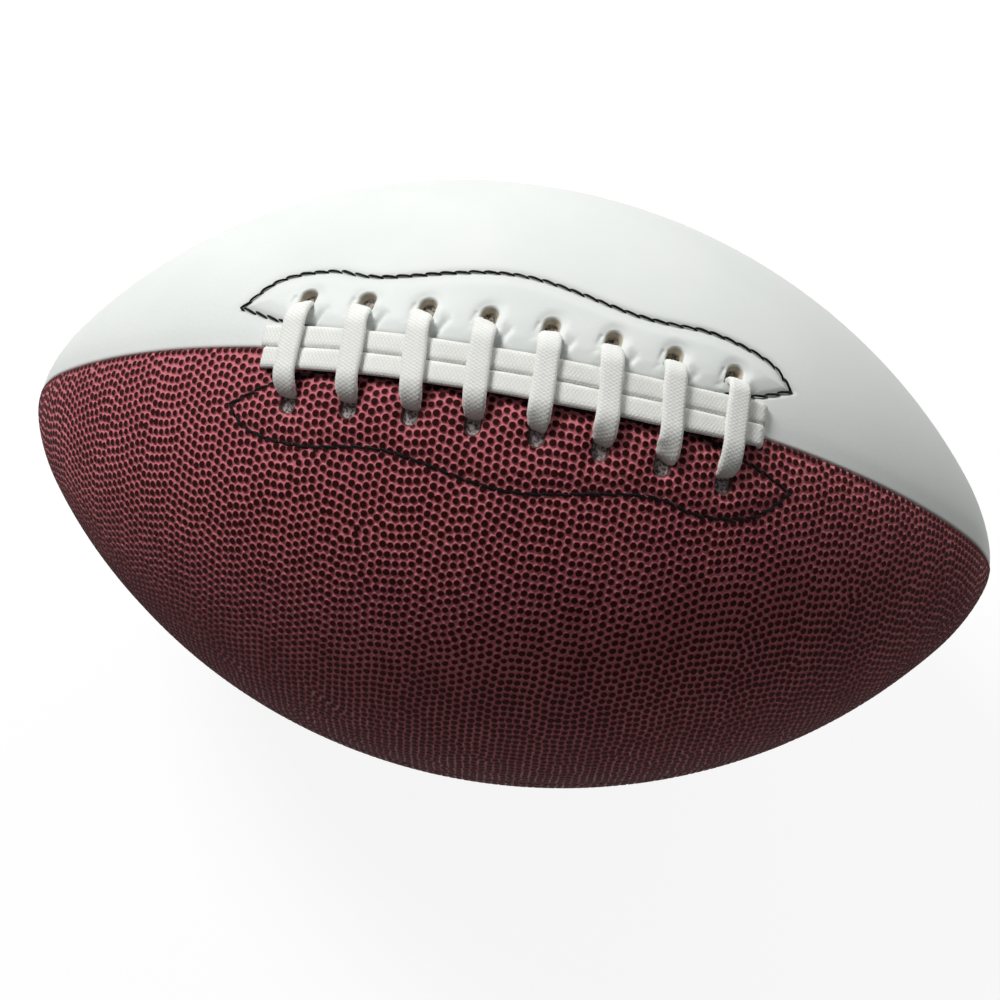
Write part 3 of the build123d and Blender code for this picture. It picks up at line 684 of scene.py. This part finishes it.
def lace_run(side):
    """One long run beside the seam: cut square at the left, folded down into the slit at the right."""
    radius = BELLY_RADIUS + RUN_HEIGHT
    first = math.asin(RUN_LEFT[side] / radius)
    last = math.asin(RUN_RIGHT / radius)
    turns = np.linspace(first, last, RUN_STEPS)
    arc = np.stack([radius * np.sin(turns), belly_centre + radius * np.cos(turns)], axis=1)
    outwards = np.array([math.sin(last), math.cos(last)])
    onwards = np.array([math.cos(last), -math.sin(last)])
    fold = np.linspace(0.0, QUARTER, BEND_STEPS)
    fold_centre = arc[-1] - outwards * RUN_FOLD_RADIUS
    turned = np.cos(fold)[:, None] * outwards + np.sin(fold)[:, None] * onwards
    bend = fold_centre + RUN_FOLD_RADIUS * turned
    line = sampled(np.concatenate([arc, bend[1:], [bend[-1] - outwards * FOOT_DEPTH]]), STRAP_STEP)
    slope = unit(np.gradient(line, axis=0))
    sway = RUN_SWAY * np.sin(line[:, 0] * RUN_SWAY_TURN)
    across = side * (RUN_GAP + RUN_WIDTH) / 2 + run_drift(line[:, 0]) + sway
    drop = half_diameter - np.sqrt(half_diameter**2 - across**2)
    path = np.stack([line[:, 0], across, line[:, 1] - drop], axis=1)
    normals = np.stack([slope[:, 1], np.zeros(len(line)), -slope[:, 0]], axis=1)
    widths = RUN_WIDTH * (1.0 + RUN_WIDTH_WAVE * np.sin(line[:, 0] * RUN_WIDTH_TURN + side))
    return strap(path, normals, widths, RUN_BRAID_PHASE * side)


def joined(parts):
    """Several meshes as one: points, quads and one attribute."""
    offsets = np.cumsum([0] + [len(part[0]) for part in parts[:-1]])
    points = np.concatenate([part[0] for part in parts])
    quads = np.concatenate([part[1] + offset for part, offset in zip(parts, offsets)])
    return points, quads, np.concatenate([part[2] for part in parts])


# Stitches
def skin_point(x, y):
    """Point on the skin over a plan point near the lacing, with its normal."""
    tilt = np.arcsin(x / BELLY_RADIUS)
    ring = belly_centre + BELLY_RADIUS * np.cos(tilt)
    z = np.sqrt(ring**2 - y**2)
    normal = np.stack([np.sin(tilt), np.cos(tilt) * y / ring, np.cos(tilt) * z / ring], axis=1)
    return np.stack([x, y, z], axis=1), normal


def stitches(side):
    """Separate lock stitches along the facing's outline, each slanted and overlapping the next."""
    line = stitch_line(side)
    line = np.concatenate([line, line[:1]]) * side
    length = lengths_along(line)
    count = int(length[-1] / STITCH_LENGTH)
    turn = np.linspace(0.0, 2 * np.pi, STITCH_AROUND, endpoint=False)
    cosine = np.cos(turn)[None, :, None]
    sine = np.sin(turn)[None, :, None]
    share = np.linspace(-STITCH_REACH, STITCH_REACH, STITCH_RINGS)
    end = np.abs(share) / share[-1]
    parts = []
    for index in range(count):
        places = (index + 0.5 + share) * length[-1] / count % length[-1]
        x = np.interp(places, length, line[:, 0])
        y = np.interp(places, length, line[:, 1])
        points, normals = skin_point(x, y)
        sides = np.cross(unit(np.gradient(points, axis=0)), normals)
        points = points + sides * (share * STITCH_SLANT[side] + rng.normal(0.0, STITCH_WANDER))[:, None]
        points = points + normals * (STITCH_RISE[side] - STITCH_DIVE * end**3)[:, None]
        size = STITCH_RADIUS[side] * (1.0 - STITCH_TAPER * end**4) * rng.uniform(*STITCH_SIZES)
        ring = cosine * sides[:, None, :] + STITCH_FLATNESS * sine * normals[:, None, :]
        tube = points[:, None, :] + ring * size[:, None, None]
        quads = tube_quads(STITCH_RINGS, STITCH_AROUND)
        parts.append((tube.reshape(-1, 3), quads, np.zeros(STITCH_RINGS * STITCH_AROUND)))
    return joined(parts)


# Materials
def node_adder(tree):
    """Function that adds a node to a tree and links or sets its inputs; i0 and i1 are inputs by number."""

    def add(kind, settings=None, **inputs):
        node = tree.nodes.new("ShaderNode" + kind)
        for key, value in (settings or {}).items():
            setattr(node, key, value)
        for key, value in inputs.items():
            numbered = key[0] == "i" and key[1:].isdigit()
            socket = node.inputs[int(key[1:]) if numbered else key]
            if isinstance(value, bpy.types.NodeSocket):
                tree.links.new(value, socket)
            else:
                socket.default_value = value
        return node

    return add


def new_material(name):
    """Node material, its shader, a function that adds nodes and one that links values to the shader."""
    material = bpy.data.materials.new(name)
    material.use_nodes = True
    tree = material.node_tree
    shader = tree.nodes["Principled BSDF"]

    def link(value, socket):
        tree.links.new(value, shader.inputs[socket])

    return material, shader, node_adder(tree), link


def mixed(add, factor, first, second):
    """Colour between two others."""
    return add("Mix", {"data_type": "RGBA"}, i0=factor, i6=first, i7=second).outputs[2]


def toned(add, factor, tones):
    """Colour between two screen colours."""
    return mixed(add, factor, *(linear(*tone) for tone in tones))


def shaded(colour, share):
    """Colour made darker or paler by a share."""
    return tuple(min(1.0, share * value) for value in colour[:3]) + (1.0,)


def ranged(add, value, low, high, out_low, out_high):
    """Value mapped from one range to another, held at its ends."""
    return add("MapRange", None, i0=value, i1=low, i2=high, i3=out_low, i4=out_high).outputs[0]


def product(add, first, second):
    """Two values multiplied."""
    return add("Math", {"operation": "MULTIPLY"}, i0=first, i1=second).outputs[0]


def attribute(add, name):
    """Point attribute of the piece."""
    return add("Attribute", {"attribute_name": name}).outputs["Fac"]


def noise(add, place, scale, detail):
    """Soft noise over the piece."""
    return add("TexNoise", None, Vector=place, Scale=scale, Detail=detail).outputs[0]


def bumps(add, link, height, strength, depth):
    """Fine relief on the shader from a height."""
    link(add("Bump", None, Height=height, Strength=strength, Distance=depth).outputs[0], "Normal")


def with_holes(add, place, base, cut_tones, backing_tones):
    """Cover colour that turns into the cut edge and then the speckled backing down in the lace holes."""
    depth = attribute(add, "hole")
    cut_edge = toned(add, noise(add, place, scale=900.0, detail=2.0), cut_tones)
    specks = ranged(add, noise(add, place, scale=1500.0, detail=1.0), *SPECK_SPAN, 0.0, 1.0)
    wall = mixed(add, ranged(add, depth, *CUT_EDGE_SPAN, 0.0, 1.0), base, cut_edge)
    return mixed(add, ranged(add, depth, *BACKING_SPAN, 0.0, 1.0), wall, toned(add, specks, backing_tones))


def white_cover():
    """Smooth white cover: faint mottling, fine grain, painted shade along the stitch groove, and a greyer
    brown band right at the seams.
    """
    material, shader, add, link = new_material("white_cover")
    place = add("TexCoord").outputs["Object"]
    tone = ranged(add, noise(add, place, scale=28.0, detail=4.0), *CLOUD_SPAN, 0.0, 1.0)
    # Painted shade: the white cover greys along the stitch groove
    stitch_shade_mix = ranged(add, attribute(add, "worn"), 0.0, 1.0, 0.0, WHITE_STITCH_SHADE_SHARE)
    base = mixed(add, stitch_shade_mix, toned(add, tone, WHITE_TONES), linear(*WHITE_STITCH_SHADE))
    # The white cover turns greyer brown right at the seams
    darkening = ranged(add, attribute(add, "seam"), SEAM_GREY_FROM, 1.0, 0.0, SEAM_GREY_SHARE)
    base = mixed(add, darkening, base, linear(*SEAM_GREY))
    link(with_holes(add, place, base, WHITE_CUT_TONES, WHITE_BACKING_TONES), "Base Color")
    grain = add("TexVoronoi", None, Vector=place, Scale=900.0).outputs["Distance"]
    fine = noise(add, place, scale=2600.0, detail=3.0)
    both = add("Math", {"operation": "ADD"}, i0=grain, i1=fine).outputs[0]
    bumps(add, link, both, strength=0.06, depth=0.0004)
    link(ranged(add, tone, 0.0, 1.0, *WHITE_ROUGHNESS), "Roughness")
    shader.inputs["Specular IOR Level"].default_value = WHITE_SPECULAR
    return material


def burgundy_cover():
    """Pebbled cover: dark pebble tops in a paler rose net."""
    material, shader, add, link = new_material("burgundy_cover")
    place = add("TexCoord").outputs["Object"]
    tone = ranged(add, noise(add, place, scale=60.0, detail=4.0), *CLOUD_SPAN, 0.0, 1.0)
    dark = attribute(add, "dark")
    base = mixed(add, dark, toned(add, tone, NET_TONES), toned(add, tone, PEBBLE_TONES))
    link(with_holes(add, place, base, BURGUNDY_CUT_TONES, BURGUNDY_BACKING_TONES), "Base Color")
    bumps(add, link, noise(add, place, scale=3000.0, detail=3.0), strength=0.12, depth=0.0003)
    link(ranged(add, dark, 0.0, 1.0, NET_ROUGHNESS, PEBBLE_ROUGHNESS), "Roughness")
    shader.inputs["Specular IOR Level"].default_value = BURGUNDY_SPECULAR
    shader.inputs["Specular Tint"].default_value = linear(*BURGUNDY_SHINE)
    return material


def braid():
    """White lace: matt fluffy yarn, with painted shade down in the hollows of the braid, and a little dirt
    on the burgundy side.
    """
    material, shader, add, link = new_material("lace_braid")
    place = add("TexCoord").outputs["Object"]
    tone = ranged(add, noise(add, place, scale=160.0, detail=4.0), *CLOUD_SPAN, 0.0, 1.0)
    # Painted shade: the yarn greys down in the hollows of the braid
    braid_shade = ranged(add, attribute(add, "braid"), 0.0, YARN_SHADE_TO, YARN_SHADE_SHARE, 0.0)
    colour = mixed(add, braid_shade, toned(add, tone, YARN_TONES), linear(*YARN_SHADE))
    across = add("SeparateXYZ", None, Vector=place).outputs["Y"]
    rubbed = ranged(add, across, -LACE_DIRT_START * MM, -LACE_DIRT_END * MM, 0.0, 1.0)
    darkening = ranged(add, product(add, rubbed, tone), 0.0, 1.0, 0.0, LACE_DIRT_SHARE)
    link(mixed(add, darkening, colour, linear(*LACE_DIRT)), "Base Color")
    bumps(add, link, noise(add, place, scale=5000.0, detail=2.0), strength=0.2, depth=0.0003)
    shader.inputs["Roughness"].default_value = YARN_ROUGHNESS
    shader.inputs["Sheen Weight"].default_value = YARN_SHEEN
    return material


def thread(name, colour, roughness):
    """Twisted waxed thread."""
    material, shader, add, link = new_material(name)
    place = add("TexCoord").outputs["Object"]
    twist = noise(add, place, scale=2400.0, detail=3.0)
    tone = ranged(add, twist, *TWIST_SPAN, 0.0, 1.0)
    link(mixed(add, tone, shaded(colour, THREAD_DARKER), colour), "Base Color")
    bumps(add, link, twist, strength=0.5, depth=0.0003)
    shader.inputs["Roughness"].default_value = roughness
    shader.inputs["Specular IOR Level"].default_value = THREAD_SPECULAR
    return material


def cloth(name, colour, scale):
    """Plain woven or felted backing."""
    material, shader, add, link = new_material(name)
    place = add("TexCoord").outputs["Object"]
    waves = []
    for direction in ("X", "Y"):
        bands = {"wave_type": "BANDS", "bands_direction": direction}
        waves.append(add("TexWave", bands, Vector=place, Scale=scale, Distortion=1.0).outputs["Fac"])
    weave = product(add, *waves)
    link(mixed(add, weave, colour, shaded(colour, CLOTH_PALER)), "Base Color")
    bumps(add, link, weave, strength=0.4, depth=0.0004)
    shader.inputs["Roughness"].default_value = CLOTH_ROUGHNESS
    return material


def rubber(name, colour):
    """Matt rubber with a faint bloom."""
    material, _, add, link = new_material(name)
    place = add("TexCoord").outputs["Object"]
    bloom = noise(add, place, scale=220.0, detail=5.0)
    tone = ranged(add, bloom, *TWIST_SPAN, 0.0, 1.0)
    link(mixed(add, tone, colour, shaded(colour, RUBBER_PALER)), "Base Color")
    bumps(add, link, bloom, strength=0.15, depth=0.0004)
    link(ranged(add, bloom, *CLOUD_SPAN, *RUBBER_ROUGHNESS), "Roughness")
    return material


def paint(piece, material):
    """Gives a piece one material."""
    piece.data.materials.clear()
    piece.data.materials.append(material)


# Pieces that stand for the cover, the lace and the stitching
covers = {"white": white_cover(), "burgundy": burgundy_cover()}
for (colour, level), steps in COVER_STEPS.items():
    paint(cover_panel(colour, level, steps), covers[colour])

straps = [lace_bar(index) for index in range(HOLE_COUNT)] + [lace_run(side) for side in (1, -1)]
lace_points, lace_quads, lace_yarn = joined(straps)
lace = mesh_object("braided_lace", lace_points, lace_quads, "lace", {"braid": lace_yarn})
paint(lace, braid())

black = thread("black_thread", linear(16, 16, 16), 0.5)
for side, colour in ((1, "white"), (-1, "burgundy")):
    stitch_points, stitch_quads, _ = stitches(side)
    row = mesh_object("lock_stitches_" + colour, stitch_points, stitch_quads,
                      "facing_stitching_" + colour)
    paint(row, black)

# Finishes of the solids that stay as they are
finishes = {
    "lining": cloth("lining_cloth", linear(150, 140, 122), 700.0),
    "facing": cloth("facing_cloth", linear(140, 132, 118), 500.0),
    "seam": thread("seam_thread", linear(196, 188, 168), 0.6),
    "tongue": cloth("tongue_felt", linear(112, 106, 98), 450.0),
    "bladder": rubber("bladder_rubber", linear(40, 40, 42)),
    "valve_body": rubber("valve_rubber", linear(46, 45, 45)),
    "valve_core": rubber("valve_core_rubber", linear(28, 27, 27)),
}
for node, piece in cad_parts.items():
    for start, finish in finishes.items():
        if node.startswith(start):
            paint(piece, finish)

# Floor and lights, in metres
FLOOR_SIZE = 30.0
FLOOR_TONE = 0.14
FLOOR_GLOW = 0.9
FLOOR_ROUGHNESS = 0.9
SKY_LIGHT = 0.12
SKY_PALE_TO = 0.3
SKY_DIM_FROM = 0.5
SKY_SEEN = 0.917
KEY_PLACE = (-0.67, 0.64, 0.92)
KEY_POWER = 14.3
KEY_SIZE = 0.45
FILL_PLACE = (0.45, 1.1, 0.52)
FILL_POWER = 5.0
FILL_SIZE = 0.6


def seen_directly(add):
    """1 where the camera, a reflection or clear glass sees the surroundings, 0 for the light they give."""
    rays = add("LightPath").outputs
    total = {"operation": "ADD", "use_clamp": True}
    either = add("Math", total, i0=rays["Is Camera Ray"], i1=rays["Is Glossy Ray"]).outputs[0]
    return add("Math", total, i0=either, i1=rays["Is Transmission Ray"]).outputs[0]


def pale_floor():
    """Plain pale floor under the ball that keeps its shadow."""
    level = cad_box[0][2]
    corners = [(-1, -1), (1, -1), (1, 1), (-1, 1)]
    mesh = bpy.data.meshes.new("floor")
    mesh.from_pydata([(FLOOR_SIZE * x, FLOOR_SIZE * y, level) for x, y in corners], [], [(0, 1, 2, 3)])
    floor = bpy.data.objects.new("floor", mesh)
    bpy.context.scene.collection.objects.link(floor)
    material, shader, add, link = new_material("floor")
    link(ranged(add, seen_directly(add), 0.0, 1.0, 0.0, FLOOR_GLOW), "Emission Strength")
    shader.inputs["Base Color"].default_value = (FLOOR_TONE, FLOOR_TONE, FLOOR_TONE, 1.0)
    shader.inputs["Emission Color"].default_value = (1.0, 1.0, 1.0, 1.0)
    shader.inputs["Roughness"].default_value = FLOOR_ROUGHNESS
    shader.inputs["Specular IOR Level"].default_value = 0.0
    paint(floor, material)


def studio_sky():
    """Dim white light from all round, seen as pale as the floor near the horizon and dim overhead."""
    world = bpy.data.worlds.new("studio")
    bpy.context.scene.world = world
    world.use_nodes = True
    tree = world.node_tree
    add = node_adder(tree)
    background = tree.nodes["Background"]
    background.inputs["Color"].default_value = (1.0, 1.0, 1.0, 1.0)
    height = add("SeparateXYZ", None, Vector=add("TexCoord").outputs["Generated"]).outputs["Z"]
    low = ranged(add, height, SKY_PALE_TO, SKY_DIM_FROM, 1.0, 0.0)
    pale = product(add, seen_directly(add), low)
    tree.links.new(ranged(add, pale, 0.0, 1.0, SKY_LIGHT, SKY_SEEN), background.inputs["Strength"])


def soft_light(name, place, power, size):
    """Square area light aimed at the ball."""
    lamp = bpy.data.lights.new(name, "AREA")
    lamp.energy = power
    lamp.size = size
    holder = bpy.data.objects.new(name, lamp)
    holder.location = place
    holder.rotation_euler = Vector(place).to_track_quat("Z", "Y").to_euler()
    bpy.context.scene.collection.objects.link(holder)


pale_floor()
studio_sky()
soft_light("key", KEY_PLACE, KEY_POWER, KEY_SIZE)
soft_light("fill", FILL_PLACE, FILL_POWER, FILL_SIZE)

# Camera, its distance in millimetres and its turns in degrees
CAMERA_DISTANCE = 450.0
CAMERA_AZIMUTH = 9.16
CAMERA_ELEVATION = 72.08
CAMERA_ROLL = 1.74
FOCAL_PIXELS = 1555.1
FRAME_PIXELS = 1000.0
CENTRE_X = 508.6
CENTRE_Y = 483.3
SENSOR_WIDTH = 36.0
CLIP_START = 0.01


def camera_turn():
    """Rotation of the camera from its azimuth, elevation and roll."""
    azimuth = math.radians(CAMERA_AZIMUTH)
    elevation = math.radians(CAMERA_ELEVATION)
    back = Vector((math.cos(elevation) * math.sin(azimuth), -math.cos(elevation) * math.cos(azimuth),
                   math.sin(elevation)))
    right = Vector((math.cos(azimuth), math.sin(azimuth), 0.0))
    level = Matrix((right, back.cross(right), back)).transposed()
    return level @ Matrix.Rotation(math.radians(CAMERA_ROLL), 3, "Z")


lens = bpy.data.cameras.new("camera")
lens.sensor_width = SENSOR_WIDTH
lens.lens = FOCAL_PIXELS / FRAME_PIXELS * SENSOR_WIDTH
lens.shift_x = (FRAME_PIXELS / 2 - CENTRE_X) / FRAME_PIXELS
lens.shift_y = (CENTRE_Y - FRAME_PIXELS / 2) / FRAME_PIXELS
lens.clip_start = CLIP_START
camera = bpy.data.objects.new("camera", lens)
turn = camera_turn()
camera.matrix_world = Matrix.Translation(turn @ Vector((0.0, 0.0, CAMERA_DISTANCE * MM))) @ turn.to_4x4()
bpy.context.scene.collection.objects.link(camera)
bpy.context.scene.camera = camera

bpy.context.scene.view_settings.view_transform = "Standard"
